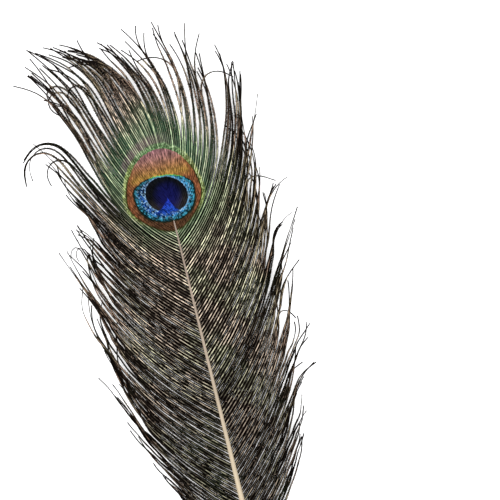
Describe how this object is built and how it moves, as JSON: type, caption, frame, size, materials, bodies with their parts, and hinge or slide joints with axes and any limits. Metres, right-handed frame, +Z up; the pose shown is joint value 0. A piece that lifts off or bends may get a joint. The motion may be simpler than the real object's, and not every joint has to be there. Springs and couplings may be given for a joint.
{
  "type": "peacock feather",
  "caption": "Peacock's eye feather lying flat: tapering shaft, dense eyed vane and loose barbs sticking together in locks.",
  "frame": {"origin": "on the surface the feather lies on, at its flat underside below the eye's centre", "axes": "+Y from the quill to the tip, +Z up out of the glossy face, +X to the right seen from above"},
  "size_m": [0.1236, 0.2806, 0.0074],
  "materials": {
    "vane": "keratin barbs: iridescent eye in blue, turquoise, bronze and green, dark brown-black barbs outside it",
    "shaft": "satin cream horn, browner towards the eye"
  },
  "bodies": {
    "root": {"feather": "vane"}
  },
  "joints": []
}
